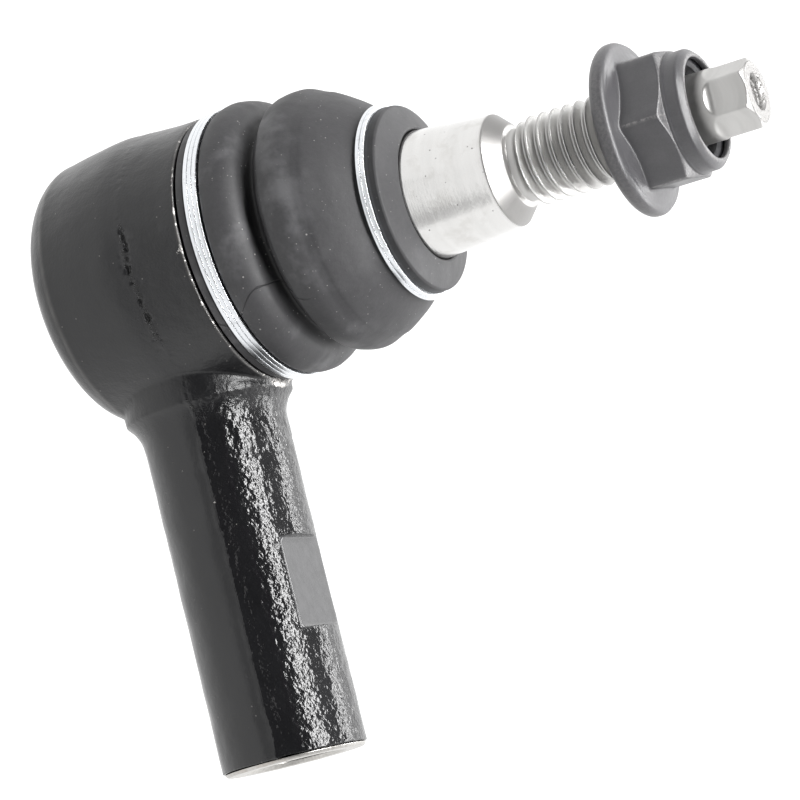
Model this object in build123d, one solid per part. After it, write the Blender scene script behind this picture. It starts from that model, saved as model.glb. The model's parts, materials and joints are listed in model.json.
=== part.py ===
from build123d import *
import math
import os

os.makedirs("parts", exist_ok=True)

# Tie rod end, M12 tapered ball stud, M14 female shank. Millimetres, +Z up.
# The origin is the middle of the shank's end face, where the tie rod screws in.
# The shank runs along X and the round head stands along +Z over the ball's centre.
# The stud rests leaning a little towards the shank, as a free ball joint does.

# Driving dimensions
BALL_TO_SHANK_END = 70.0
BALL_R = 11.0
SHANK_R = 10.2
ROD_THREAD_MINOR_R = 6.188
ROD_THREAD_DEPTH = 34.0
STUD_THREAD_R = 6.0
THREAD_PITCH = 1.75
TAPER_PER_MM = 0.1
NUT_HEX_AF = 17.0
STUD_LEAN = 2.0
RUNNING_GAP = 0.08
SOFT_GAP = 0.3

# Housing head, heights measured from the ball's centre
HEAD_TOP_Z = 12.0
HEAD_TOP_R = 19.1
PARTING_Z = 0.0
PARTING_R = 20.1
HEAD_ROUND_Z = -9.8
HEAD_ROUND_R = 19.35
HEAD_BOTTOM_Z = -13.4
HEAD_BOTTOM_R = 15.8
CRIMP_MOUTH_R = 11.6
CAP_R = 14.2
CAP_EDGE_Z = -11.4
CAP_BEVEL_R = 12.4
CAP_BOTTOM_Z = -12.6
CAP_TOP_Z = -11.0
CAP_DISH_R = 8.0
CAP_DISH_DEPTH = 0.5
SPRING_R = (8.2, 13.4)
SPRING_THICKNESS = 0.9
SPRING_RISE = 1.5
SHELL_BOTTOM_Z = -8.5
SOCKET_R = 13.8
SOCKET_CONE_Z = 1.0
SOCKET_THROAT_R = 10.9
SOCKET_THROAT_Z = 5.5
MOUTH_R = 14.8
BOOT_SEAT_TOP_Z = 16.2
BOOT_SEAT_R = 17.0
BOOT_GROOVE_R = 16.2
BOOT_GROOVE_Z = (12.8, 14.9)

# Shank
ROOT_START = 24.0
ROOT_FLARE_R = 6.0
ROOT_FLARE_LENGTH = 4.4
WRENCH_AF = 17.4
WRENCH_START_X = -29.5
WRENCH_END_X = -17.0
COUNTERSINK_DEPTH = 0.5
COUNTERSINK_R = 7.05
SHANK_EDGE_CHAMFER = 0.5
DRILL_TIP_ANGLE = 118.0

# Ball stud
BALL_FLAT_Z = -9.4
NECK_R = 7.0
NECK_FLARE_Z = 17.0
LAND_R = 9.0
LAND_START_Z = 31.0
TAPER_START_Z = 40.0
TAPER_END_Z = 52.4
RELIEF_R = 5.0
RELIEF_END_Z = 56.0
THREAD_START_Z = 56.6
THREAD_END_Z = 80.9
TIP_R = 4.75
TIP_HEX_AF = 8.3
TIP_HEX_TURN = 30.0
TIP_FLAT_START_Z = 82.6
TIP_FLAT_RUNOUT_R = 1.6
STUD_END_Z = 88.8
TIP_CHAMFER = 0.5
TIP_RECESS_R = 2.55
TIP_RECESS_DEPTH = 1.2

# Boot and its two rings
BOOT_VALLEY = (15.9, 22.95)
BOOT_VALLEY_INSIDE = (14.2, 23.2)
BASE_RING_Z = (13.75, 15.85)
BASE_RING_R = (18.45, 19.4)
BASE_RING_TURNS = 3
TOP_RING_Z = (36.75, 38.05)
TOP_RING_R = (13.0, 13.75)
TOP_RING_TURNS = 2
WIRE_EDGE_GROOVE = 0.12

# Flange nut, height measured from the ball's centre, at its stored place on the thread
NUT_SEAT_Z = 69.9
NUT_FLANGE_R = 11.75
NUT_FLANGE_EDGE = 2.1
NUT_HEX_TURN = -23.5
NUT_HEX_TOP_Z = 78.9
NUT_COLLAR_R = 8.15
NUT_COLLAR_TOP_Z = 81.7
NUT_COLLAR_HOLE_R = 6.75
NUT_BEARING_R = 10.9
INSERT_R = 7.3
INSERT_Z = (77.9, 80.7)


def turned(*curves):
    """A solid of revolution about Z from the curves of a closed half outline (r, z)."""
    edges = [edge for curve in curves for edge in curve.edges()]
    return revolve(Plane.XZ * make_face(edges), Axis.Z)


def turned_from(points):
    """A solid of revolution about Z from a closed list of (r, z) corners."""
    return turned(Polyline(*points, close=True))


def leaning(solid):
    """The solid turned about the ball's centre with the stud."""
    return Rot(0, STUD_LEAN, 0) * solid


def save(solid, name):
    """Write one piece at its place over the ball's centre."""
    placed = Pos(-BALL_TO_SHANK_END, 0, 0) * solid
    placed.label = name
    export_step(placed, f"parts/{name}.step")


def head_outline():
    """Forged head with draft both ways from its parting plane, rolled in at the bottom."""
    parting = (PARTING_R, PARTING_Z)
    bottom_middle = (18.15, -12.0)
    return [
        Polyline((0, HEAD_TOP_Z), (HEAD_TOP_R, HEAD_TOP_Z), parting, (HEAD_ROUND_R, HEAD_ROUND_Z)),
        ThreePointArc((HEAD_ROUND_R, HEAD_ROUND_Z), bottom_middle, (HEAD_BOTTOM_R, HEAD_BOTTOM_Z)),
        Polyline((HEAD_BOTTOM_R, HEAD_BOTTOM_Z), (0, HEAD_BOTTOM_Z), (0, HEAD_TOP_Z)),
    ]


def boot_seat():
    """The collar above the head, with the groove that the boot's bead sits in."""
    groove_low, groove_high = BOOT_GROOVE_Z
    slope = BOOT_SEAT_R - BOOT_GROOVE_R
    return turned_from([
        (0, HEAD_TOP_Z - 2),
        (BOOT_SEAT_R, HEAD_TOP_Z - 2),
        (BOOT_SEAT_R, groove_low - slope / 2),
        (BOOT_GROOVE_R, groove_low),
        (BOOT_GROOVE_R, groove_high),
        (BOOT_SEAT_R, groove_high + slope / 2),
        (BOOT_SEAT_R, BOOT_SEAT_TOP_Z - 0.3),
        (BOOT_SEAT_R - 0.3, BOOT_SEAT_TOP_Z),
        (0, BOOT_SEAT_TOP_Z),
    ])


def socket_bore():
    """Everything bored out of the head: crimp mouth, cap seat, socket, throat, flared mouth."""
    return turned_from([
        (0, HEAD_BOTTOM_Z - 1),
        (CRIMP_MOUTH_R, HEAD_BOTTOM_Z - 1),
        (CRIMP_MOUTH_R, CAP_BOTTOM_Z),
        (CAP_BEVEL_R, CAP_BOTTOM_Z),
        (CAP_R, CAP_EDGE_Z),
        (CAP_R, CAP_TOP_Z),
        (SOCKET_R, CAP_TOP_Z),
        (SOCKET_R, SOCKET_CONE_Z),
        (SOCKET_THROAT_R, SOCKET_THROAT_Z),
        (SOCKET_THROAT_R + 0.1, SOCKET_THROAT_Z + 0.6),
        (MOUTH_R, BOOT_SEAT_TOP_Z),
        (MOUTH_R, BOOT_SEAT_TOP_Z + 1),
        (0, BOOT_SEAT_TOP_Z + 1),
    ])


def shank():
    """Plain round shank along X, from the ball's axis to the end face, its edge chamfered."""
    bar = Rot(0, 90, 0) * Cylinder(SHANK_R, BALL_TO_SHANK_END, align=(Align.CENTER, Align.CENTER, Align.MIN))
    end_edge = bar.edges().group_by(Axis.X)[-1]
    return chamfer(end_edge, SHANK_EDGE_CHAMFER)


def shank_root():
    """The shank's flare into the head: a hollow curve turned about the shank's axis."""
    flare_rise = ROOT_FLARE_R - math.sqrt(ROOT_FLARE_R**2 - ROOT_FLARE_LENGTH**2)
    root_r = SHANK_R + flare_rise
    flare_end = ROOT_START - ROOT_FLARE_LENGTH
    inner_end = SOCKET_R
    flare = RadiusArc((SHANK_R, ROOT_START), (root_r, flare_end), -ROOT_FLARE_R)
    rest = Polyline((root_r, flare_end), (root_r, inner_end), (0, inner_end), (0, ROOT_START), (SHANK_R, ROOT_START))
    return Rot(0, 90, 0) * turned(flare, rest)


def wrench_cut(side):
    """One of the two flats for holding the shank while the lock nut is tightened."""
    length = WRENCH_END_X - WRENCH_START_X
    middle = BALL_TO_SHANK_END + (WRENCH_START_X + WRENCH_END_X) / 2
    height = SHANK_R
    return Pos(middle, 0, side * (WRENCH_AF / 2 + height / 2)) * Box(length, 3 * SHANK_R, height)


def rod_bore():
    """Threaded hole at its minor radius, with a countersunk mouth and a drill point."""
    drill_tip = ROD_THREAD_MINOR_R / math.tan(math.radians(DRILL_TIP_ANGLE / 2))
    outline = [
        (0, 1),
        (COUNTERSINK_R, 1),
        (COUNTERSINK_R, 0),
        (ROD_THREAD_MINOR_R, -COUNTERSINK_DEPTH),
        (ROD_THREAD_MINOR_R, -ROD_THREAD_DEPTH),
        (0, -ROD_THREAD_DEPTH - drill_tip),
    ]
    return Pos(BALL_TO_SHANK_END, 0, 0) * Rot(0, 90, 0) * turned_from(outline)


def housing():
    blank = turned(*head_outline()) + shank() + shank_root() + boot_seat()
    blank = blank - socket_bore() - rod_bore()
    for side in (-1, 1):
        blank = blank - wrench_cut(side)
    return blank


def closing_cap():
    """Steel plate that closes the socket, held by the rolled edge, dished in the middle."""
    slack = 0.02
    return turned_from([
        (0, CAP_BOTTOM_Z + CAP_DISH_DEPTH),
        (CAP_DISH_R - 2, CAP_BOTTOM_Z + CAP_DISH_DEPTH),
        (CAP_DISH_R, CAP_BOTTOM_Z),
        (CAP_BEVEL_R - slack, CAP_BOTTOM_Z),
        (CAP_R - slack, CAP_EDGE_Z),
        (CAP_R - slack, CAP_TOP_Z),
        (0, CAP_TOP_Z),
    ])


def preload_spring():
    """Disc spring that presses the lower shell up against the ball."""
    inner_r, outer_r = SPRING_R
    low = CAP_TOP_Z
    high = low + SPRING_RISE
    return turned_from([
        (outer_r, low),
        (outer_r, low + SPRING_THICKNESS),
        (inner_r, high + SPRING_THICKNESS),
        (inner_r, high),
    ])


def ball_cup():
    return Sphere(BALL_R + RUNNING_GAP)


def lower_bearing_shell():
    edge = 0.6
    return turned_from([
        (0, SHELL_BOTTOM_Z),
        (SOCKET_R - RUNNING_GAP - edge, SHELL_BOTTOM_Z),
        (SOCKET_R - RUNNING_GAP, SHELL_BOTTOM_Z + edge),
        (SOCKET_R - RUNNING_GAP, -0.1),
        (0, -0.1),
    ]) - ball_cup()


def upper_bearing_shell():
    top = SOCKET_THROAT_Z - 0.7
    cone = (SOCKET_R - SOCKET_THROAT_R) / (SOCKET_THROAT_Z - SOCKET_CONE_Z)
    gap = 0.1
    outer = SOCKET_R - RUNNING_GAP
    top_r = outer - cone * (top - SOCKET_CONE_Z) - gap / 2
    return turned_from([
        (0, 0.1),
        (outer, 0.1),
        (outer, SOCKET_CONE_Z - gap),
        (top_r, top),
        (0, top),
    ]) - ball_cup()


def tip_flat_cut(angle):
    """One milled flat of the hexagon tip, with the cutter's round run-out at its foot."""
    depth = 4.0
    height = STUD_END_Z - TIP_FLAT_START_Z + 1
    cutter = Box(depth, 3 * TIP_R, height, align=(Align.MIN, Align.CENTER, Align.MIN))
    foot = cutter.edges().group_by(Axis.X)[0].group_by(Axis.Z)[0]
    cutter = fillet(foot, TIP_FLAT_RUNOUT_R)
    return Rot(0, 0, angle) * Pos(TIP_HEX_AF / 2, 0, TIP_FLAT_START_Z) * cutter


def ball_stud():
    """Ball, flared neck, land, 1:5 taper, relief, thread at its nominal radius, hexagon tip."""
    taper_end_r = LAND_R - TAPER_PER_MM * (TAPER_END_Z - TAPER_START_Z)
    chamfer_end_r = RELIEF_R + 0.7
    chamfer_end_z = TAPER_END_Z + taper_end_r - chamfer_end_r
    flat_r = math.sqrt(BALL_R**2 - BALL_FLAT_Z**2)
    neck_z = math.sqrt(BALL_R**2 - NECK_R**2)
    flare = Spline((NECK_R, NECK_FLARE_Z), (LAND_R, LAND_START_Z), tangents=((0, 1), (0, 1)))
    body = turned(
        Line((0, BALL_FLAT_Z), (flat_r, BALL_FLAT_Z)),
        ThreePointArc((flat_r, BALL_FLAT_Z), (BALL_R, 0), (NECK_R, neck_z)),
        Line((NECK_R, neck_z), (NECK_R, NECK_FLARE_Z)),
        flare,
        Polyline(
            (LAND_R, LAND_START_Z),
            (LAND_R, TAPER_START_Z),
            (taper_end_r, TAPER_END_Z),
            (chamfer_end_r, chamfer_end_z),
            (RELIEF_R, chamfer_end_z + 0.25),
            (RELIEF_R, RELIEF_END_Z),
            (STUD_THREAD_R, THREAD_START_Z),
            (STUD_THREAD_R, THREAD_END_Z),
            (TIP_R, THREAD_END_Z + 0.9),
            (TIP_R, STUD_END_Z - TIP_CHAMFER),
            (TIP_R - TIP_CHAMFER, STUD_END_Z),
            (TIP_RECESS_R, STUD_END_Z),
            (TIP_RECESS_R - 0.4, STUD_END_Z - TIP_RECESS_DEPTH),
            (0, STUD_END_Z - TIP_RECESS_DEPTH),
            (0, BALL_FLAT_Z),
        ),
    )
    for index in range(6):
        body = body - tip_flat_cut(TIP_HEX_TURN + 60 * index)
    return body


def boot_base():
    """Lower half of the bellows: bead in the housing's groove, ring seat, first convolution."""
    low = HEAD_TOP_Z + SOFT_GAP
    seat_r = BASE_RING_R[0]
    seat_low, seat_high = BASE_RING_Z
    groove_r = BOOT_GROOVE_R + SOFT_GAP
    bead_r = BOOT_SEAT_R + SOFT_GAP
    above_seat = (19.1, seat_high + 0.1)
    cavity_foot = (17.6, 17.2)
    return turned(
        Polyline((bead_r, low), (18.9, low), (19.1, low + 0.3), (19.1, seat_low - 0.25), (seat_r, seat_low)),
        Polyline((seat_r, seat_low), (seat_r, seat_high), above_seat),
        Spline(above_seat, (19.45, 17.3), (19.1, 19.1), (18.2, 20.8), (17.1, 22.0), BOOT_VALLEY),
        Line(BOOT_VALLEY, BOOT_VALLEY_INSIDE),
        Spline(BOOT_VALLEY_INSIDE, (15.5, 21.2), (17.2, 19.0), cavity_foot),
        Polyline(
            cavity_foot,
            (17.6, BOOT_SEAT_TOP_Z + SOFT_GAP),
            (bead_r, BOOT_SEAT_TOP_Z + SOFT_GAP),
            (bead_r, BOOT_GROOVE_Z[1] + 0.3),
            (groove_r, BOOT_GROOVE_Z[1] - 0.2),
            (groove_r, BOOT_GROOVE_Z[0] + 0.2),
            (bead_r, low),
        ),
    )


def boot_top():
    """Upper half of the bellows: ledge, second convolution, ring seat, lip round the land."""
    ledge = (17.4, 23.25)
    neck = (13.3, 36.3)
    seat_low = TOP_RING_Z[0]
    seat_r = TOP_RING_R[0]
    lip_bore_r = LAND_R + SOFT_GAP
    lip_foot = (seat_r, 38.8)
    lip_edge = (9.4, 42.3)
    bore_foot = (lip_bore_r, 35.6)
    return turned(
        Line(BOOT_VALLEY, ledge),
        Spline(ledge, (18.1, 25.2), (18.45, 27.4), (18.1, 29.3), (17.2, 31.2), (15.4, 33.7), neck),
        Polyline(neck, (neck[0], seat_low), (seat_r, seat_low), lip_foot),
        Spline(lip_foot, (12.75, 40.0), (11.9, 41.0), (10.4, 41.9), lip_edge, tangents=((0, 1), (-1, 0.2))),
        Polyline(lip_edge, (lip_bore_r, lip_edge[1] - 0.2), bore_foot),
        Spline(bore_foot, (11.6, 34.9), (13.7, 32.9), (15.5, 30.3), (16.5, 27.4), (15.9, 25.2), BOOT_VALLEY_INSIDE),
        Line(BOOT_VALLEY_INSIDE, BOOT_VALLEY),
    )


def dust_boot():
    """The two halves of the bellows, the upper one leaning over with the stud."""
    inner_r = 14.7
    outer_r = 15.6
    low = 22.2
    high = 24.2
    fold = turned_from([(inner_r, low), (outer_r, low), (outer_r, high), (inner_r, high)])
    return boot_base() + fold + leaning(boot_top())


def wound_ring(radii, heights, turns):
    """Flat-wire retaining ring: turns lying on each other, parted by a fine line outside."""
    inner_r, outer_r = radii
    low, high = heights
    ring = turned_from([(inner_r, low), (outer_r, low), (outer_r, high), (inner_r, high)])
    for turn in range(1, turns):
        z = low + (high - low) * turn / turns
        g = WIRE_EDGE_GROOVE
        ring = ring - turned_from([(outer_r - g, z), (outer_r + 1, z - g - 1), (outer_r + 1, z + g + 1)])
    return ring


def nut_hexagon():
    """Hexagon with its corners turned down at the top."""
    low = NUT_SEAT_Z + 0.6
    across_corners_r = NUT_HEX_AF / math.sqrt(3)
    prism = Pos(0, 0, low) * extrude(Rot(0, 0, NUT_HEX_TURN) * RegularPolygon(across_corners_r, 6), NUT_HEX_TOP_Z - low)
    turn_down = turned_from([
        (0, low),
        (across_corners_r + 0.1, low),
        (across_corners_r + 0.1, NUT_HEX_TOP_Z - 1.0),
        (NUT_HEX_AF / 2 - 0.3, NUT_HEX_TOP_Z),
        (0, NUT_HEX_TOP_Z),
    ])
    return prism & turn_down


def flange_nut():
    """Flanged hexagon nut with a crimped collar that holds the locking insert."""
    rim_low = NUT_SEAT_Z + 0.3
    rim_high = rim_low + NUT_FLANGE_EDGE
    rim_middle = (NUT_FLANGE_R, (rim_low + rim_high) / 2)
    rim_r = NUT_FLANGE_R - 0.6
    flange = turned(
        Polyline((0, NUT_SEAT_Z), (NUT_BEARING_R, NUT_SEAT_Z), (rim_r, rim_low)),
        ThreePointArc((rim_r, rim_low), rim_middle, (rim_r, rim_high)),
        Polyline((rim_r, rim_high), (9.0, rim_high + 1.0), (0, rim_high + 1.0), (0, NUT_SEAT_Z)),
    )
    shoulder = NUT_HEX_TOP_Z - 0.5
    collar = turned(
        Polyline((0, shoulder), (NUT_COLLAR_R + 0.3, shoulder), (NUT_COLLAR_R, NUT_HEX_TOP_Z + 0.4)),
        Line((NUT_COLLAR_R, NUT_HEX_TOP_Z + 0.4), (NUT_COLLAR_R, NUT_COLLAR_TOP_Z - 1.0)),
        RadiusArc((NUT_COLLAR_R, NUT_COLLAR_TOP_Z - 1.0), (NUT_COLLAR_R - 1.0, NUT_COLLAR_TOP_Z), -1.0),
        Polyline((NUT_COLLAR_R - 1.0, NUT_COLLAR_TOP_Z), (0, NUT_COLLAR_TOP_Z), (0, shoulder)),
    )
    bore_r = STUD_THREAD_R + RUNNING_GAP
    insert_low, insert_high = INSERT_Z
    bore = turned_from([
        (0, NUT_SEAT_Z - 1),
        (bore_r + 0.5, NUT_SEAT_Z - 1),
        (bore_r + 0.5, NUT_SEAT_Z),
        (bore_r, NUT_SEAT_Z + 0.5),
        (bore_r, insert_low),
        (INSERT_R, insert_low),
        (INSERT_R, insert_high),
        (NUT_COLLAR_HOLE_R, insert_high + 0.2),
        (NUT_COLLAR_HOLE_R, NUT_COLLAR_TOP_Z + 1),
        (0, NUT_COLLAR_TOP_Z + 1),
    ])
    return flange + nut_hexagon() + collar - bore


def locking_insert():
    """Nylon ring in the collar, clear of the nut so that the nut can wind round it."""
    low, high = INSERT_Z
    gap = RUNNING_GAP
    return turned_from([
        (STUD_THREAD_R + gap, low + gap),
        (INSERT_R - gap, low + gap),
        (INSERT_R - gap, high - gap),
        (STUD_THREAD_R + gap + 0.4, high - gap),
        (STUD_THREAD_R + gap, high - gap - 0.4),
    ])


save(housing(), "housing")
save(closing_cap(), "closing_cap")
save(preload_spring(), "preload_spring")
save(lower_bearing_shell(), "lower_bearing_shell")
save(upper_bearing_shell(), "upper_bearing_shell")
save(leaning(ball_stud()), "ball_stud")
save(dust_boot(), "dust_boot")
save(wound_ring(BASE_RING_R, BASE_RING_Z, BASE_RING_TURNS), "boot_base_ring")
save(leaning(wound_ring(TOP_RING_R, TOP_RING_Z, TOP_RING_TURNS)), "boot_top_ring")
save(leaning(flange_nut()), "flange_nut")
save(leaning(locking_insert()), "locking_insert")
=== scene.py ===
import json
import math

import bpy
import numpy as np
from mathutils import Matrix, Vector, noise


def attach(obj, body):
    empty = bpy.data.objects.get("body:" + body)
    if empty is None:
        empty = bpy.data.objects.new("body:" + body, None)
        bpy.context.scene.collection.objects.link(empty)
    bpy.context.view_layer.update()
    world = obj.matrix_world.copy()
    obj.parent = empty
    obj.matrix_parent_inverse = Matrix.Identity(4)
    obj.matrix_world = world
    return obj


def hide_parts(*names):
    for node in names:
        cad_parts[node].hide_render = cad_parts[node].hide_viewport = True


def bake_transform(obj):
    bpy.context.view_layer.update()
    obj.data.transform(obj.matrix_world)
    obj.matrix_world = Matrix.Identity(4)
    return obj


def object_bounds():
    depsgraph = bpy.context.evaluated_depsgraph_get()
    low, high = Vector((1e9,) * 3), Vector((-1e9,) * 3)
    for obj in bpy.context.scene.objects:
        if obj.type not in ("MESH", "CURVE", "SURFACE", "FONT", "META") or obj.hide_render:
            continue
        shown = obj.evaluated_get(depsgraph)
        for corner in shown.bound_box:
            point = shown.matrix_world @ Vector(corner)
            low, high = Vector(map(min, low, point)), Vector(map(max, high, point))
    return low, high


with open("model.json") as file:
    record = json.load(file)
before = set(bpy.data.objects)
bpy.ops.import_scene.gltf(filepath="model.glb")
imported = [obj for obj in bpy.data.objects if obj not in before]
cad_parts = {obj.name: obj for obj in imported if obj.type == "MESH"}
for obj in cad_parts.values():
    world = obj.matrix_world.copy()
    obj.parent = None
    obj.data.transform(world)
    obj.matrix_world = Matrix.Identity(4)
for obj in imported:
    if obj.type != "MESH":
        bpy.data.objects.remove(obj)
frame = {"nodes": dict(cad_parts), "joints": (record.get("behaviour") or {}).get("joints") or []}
cad_low, cad_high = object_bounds()

# Everything is drawn in millimetres about the ball's centre, heights along Z, and placed in the
# row frame by piece(). Pieces that lean with the stud are drawn upright and leaned there.
MM = 0.001
joints = {joint["name"]: joint for joint in frame["joints"]}
BALL = np.array(joints["swing"]["pos_m"], float)
STUD_AXIS = Vector(joints["spin"]["axis"])
LEAN = np.array(Matrix.Rotation(math.atan2(STUD_AXIS.x, STUD_AXIS.z), 3, "Y"))
BALL_TO_SHANK_END = -BALL[0] / MM

# Housing
HEAD_TOP = 12.0
HEAD_TOP_R = 19.1
HEAD_WIDEST_R = 20.1
HEAD_ROUND_Z = -9.8
HEAD_ROUND_R = 19.35
HEAD_BOTTOM_Z = -13.4
HEAD_BOTTOM_R = 15.8
MOUTH_CRIMP_R = 11.6
CAP_R = 14.2
CAP_BOTTOM = -12.6
CAP_TOP = -11.0
SOCKET_R = 13.8
THROAT_R = 10.9
THROAT_Z = 5.5
MOUTH_R = 14.8
SEAT_R = 17.0
SEAT_GROOVE_R = 16.2
SEAT_TOP = 16.2
SHANK_R = 10.2
ROOT_START = 24.0
ROOT_END = 19.6
ROOT_R = 12.0
FLAT_AF = 17.4
FLAT_START = BALL_TO_SHANK_END - 29.5
FLAT_END = BALL_TO_SHANK_END - 17.0
FLASH_Z = 2.6
HEAD_FLASH_Z = 3.7
ROD_THREAD_R = 7.0
ROD_THREAD_PITCH = 1.5
ROD_THREAD_DEPTH = 34.0
END_RING_R = (7.4, 9.9)
BORE_R = 7.5
VOXEL = 0.24

# Stud and nut
BALL_R = 11.0
BALL_FLAT_Z = -9.4
NECK_R = 7.0
THREAD_R = 5.96
PITCH = 1.75
THREAD_START = 56.0
THREAD_END = 78.9
TIP_R = 4.75
TIP_AF = 8.3
TIP_FLAT_START = 82.6
TIP_RUNOUT = 1.6
STUD_END = 88.8
NUT_SEAT = 69.9
NUT_AF = 17.0
NUT_TURN = math.radians(-23.5)
NUT_TOP = 78.9
COLLAR_R = 8.15
COLLAR_TOP = 81.7
INSERT_R = 7.3
INSERT_LOW = 77.9
INSERT_HIGH = 80.7
RELIEF_R = 5.0
LAND_R = 9.0
LAND_END = 40.0
TAPER_END = 52.4
TAPER_END_R = 7.76
BEVEL_END = 54.5
RECESS_R = 2.55
RECESS_DEPTH = 1.2
FLANGE_R = 11.75
FLANGE_EDGE = 2.4

# Boot and rings
BASE_RING_R = (18.45, 19.4)
BASE_RING_Z = (13.75, 15.85)
BASE_RING_TURNS = 3
BASE_RING_START = math.radians(80)
TOP_RING_R = (13.0, 13.75)
TOP_RING_Z = (36.75, 38.05)
TOP_RING_TURNS = 2
TOP_RING_START = math.radians(120)
LIP_R = 13.0
LIP_EDGE_Z = 39.0
LIP_TOP_Z = 41.0
LIP_BORE_R = 9.08
LEAN_Z = (19.0, 35.0)
SEAM_AT = math.radians(55.0)

# Camera, from the ball's centre
CAMERA_AZIMUTH = math.radians(9.28)
CAMERA_ELEVATION = math.radians(24.91)
CAMERA_ROLL = math.radians(71.83)
CAMERA_DISTANCE = 447.18
CAMERA_TARGET = (26.61, 1.03, 28.16)
CAMERA_LENS = 148.5

# Room, in metres
FLOOR_DROP = 0.03
CARD_DROP = 0.028
FLOOR_HALF = 8.0
LIT_SPOT = Vector((-0.045, 0, 0.02))
TAU = 2 * math.pi


# ---------------------------------------------------------------- outlines and meshes

def eased(points, reach, steps=3):
    """The outline with each inner corner rounded, starting at most reach before it."""
    corners = [np.array(point, float) for point in points]
    out = [corners[0]]
    for before, corner, after in zip(corners, corners[1:], corners[2:]):
        ends = []
        for other in (before, after):
            side = other - corner
            length = np.linalg.norm(side)
            ends.append(corner + side * min(reach, 0.45 * length) / length)
        for t in np.linspace(0, 1, steps + 1):
            out.append((1 - t) ** 2 * ends[0] + 2 * t * (1 - t) * corner + t * t * ends[1])
    out.append(corners[-1])
    return np.array(out)


def flowing(points, step=0.2):
    """A smooth curve through the points, as closely spaced points."""
    p = np.array(points, float)
    p = np.vstack([2 * p[0] - p[1], p, 2 * p[-1] - p[-2]])
    out = []
    for a, b, c, d in zip(p, p[1:], p[2:], p[3:]):
        count = max(2, int(np.linalg.norm(c - b) / step))
        t = np.arange(count)[:, None] / count
        bend = (2 * a - 5 * b + 4 * c - d) * t**2 + (3 * b - a - 3 * c + d) * t**3
        out.append(0.5 * (2 * b + (c - a) * t + bend))
    return np.vstack(out + [p[-2:-1]])


def filled(outline, step):
    """The outline with points added so that none are further apart than step."""
    out = [np.asarray(outline[0], float)]
    for a, b in zip(outline, outline[1:]):
        a, b = np.asarray(a, float), np.asarray(b, float)
        count = max(1, math.ceil(np.linalg.norm(b - a) / step))
        out += [a + (b - a) * k / count for k in range(1, count + 1)]
    return np.array(out)


def around(count):
    return np.arange(count) * TAU / count


def turned(outline, columns):
    """Rows of points for an outline (r, z) turned about Z."""
    angle = around(columns)
    outline = np.asarray(outline, float)
    r, z = outline[:, :1], outline[:, 1:]
    return np.stack([r * np.cos(angle), r * np.sin(angle), z + 0 * angle], -1)


def shaped(radius, heights, columns):
    """Rows of points at the heights, each point as far out as radius(angle, z) says."""
    angle, z = np.meshgrid(around(columns), heights)
    r = radius(angle, z)
    return np.stack([r * np.cos(angle), r * np.sin(angle), z], -1)


def skinned(rows, loops=False):
    """Points and faces of rows of points, each row a ring. An end row of no size is one point."""
    count, columns = rows.shape[:2]
    index = np.arange(count * columns).reshape(count, columns)
    for end in (0, -1):
        if not loops and np.ptp(rows[end], axis=0).max() < 1e-6:
            index[end] = index[end][0]
    low, high = (index, np.roll(index, -1, 0)) if loops else (index[:-1], index[1:])
    quads = np.stack([low, np.roll(low, -1, 1), np.roll(high, -1, 1), high], -1).reshape(-1, 4)
    used, quads = np.unique(quads, return_inverse=True)
    points = rows.reshape(-1, 3)[used]
    quads = quads.reshape(-1, 4)
    a, b, c, d = (points[quads[:, k]] for k in range(4))
    volume = np.einsum("ij,ij->", a, np.cross(b, c)) + np.einsum("ij,ij->", a, np.cross(c, d))
    if volume < 0:
        quads = quads[:, ::-1]
    faces = [tuple(dict.fromkeys(quad)) for quad in quads.tolist()]
    return points, faces


def new_mesh(name, points, faces):
    mesh = bpy.data.meshes.new(name)
    mesh.from_pydata(points.tolist(), [], faces)
    mesh.update()
    made = bpy.data.objects.new(name, mesh)
    bpy.context.scene.collection.objects.link(made)
    return made


def piece(name, points, faces, material, leans=False, masks=None):
    """A finished mesh piece. "at" holds each point's upright place in millimetres, for its material."""
    points = np.asarray(points, float)
    spots = points @ LEAN.T if leans is True else points
    if isinstance(leans, np.ndarray):
        spots = points + (points @ LEAN.T - points) * leans[:, None]
    made = new_mesh(name, spots * MM + BALL, faces)
    mesh = made.data
    places = mesh.attributes.new("at", "FLOAT_VECTOR", "POINT").data
    places.foreach_set("vector", points.astype(np.float32).ravel())
    for mask, values in (masks or {}).items():
        shares = mesh.attributes.new(mask, "FLOAT", "POINT").data
        shares.foreach_set("value", values.astype(np.float32))
    mesh.materials.append(material)
    mesh.shade_smooth()
    return made


def roughness_of(points, scale, seed=0.0, octaves=1):
    """Signed noise at each point, its features about scale millimetres across."""
    total = np.zeros(len(points))
    weight = 1.0
    for octave in range(octaves):
        grid = points * (1.9**octave / scale) + seed + 17.3 * octave
        total += weight * np.array([noise.noise(Vector(spot)) for spot in grid])
        weight *= 0.5
    return total


def step_up(value, low, high):
    """0 below low, 1 above high, smooth between."""
    t = np.clip((value - low) / (high - low), 0, 1)
    return t * t * (3 - 2 * t)


def near(distance, reach):
    """1 at no distance, fading to almost nothing at twice the reach."""
    return np.exp(-((distance / reach) ** 2))


def soft_min(a, b, reach):
    """The lower of two values, rounded where they cross."""
    h = np.clip(0.5 + 0.5 * (b - a) / reach, 0, 1)
    return b + (a - b) * h - reach * h * (1 - h)


def soft_max(a, b, reach):
    return -soft_min(-a, -b, reach)


def hexagon(angle, across_flats, turn=0.0):
    """How far out a hexagon's side is at each angle, its corners at turn."""
    within = (angle - turn) % (math.pi / 3) - math.pi / 6
    return across_flats / 2 / np.cos(within)


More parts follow.
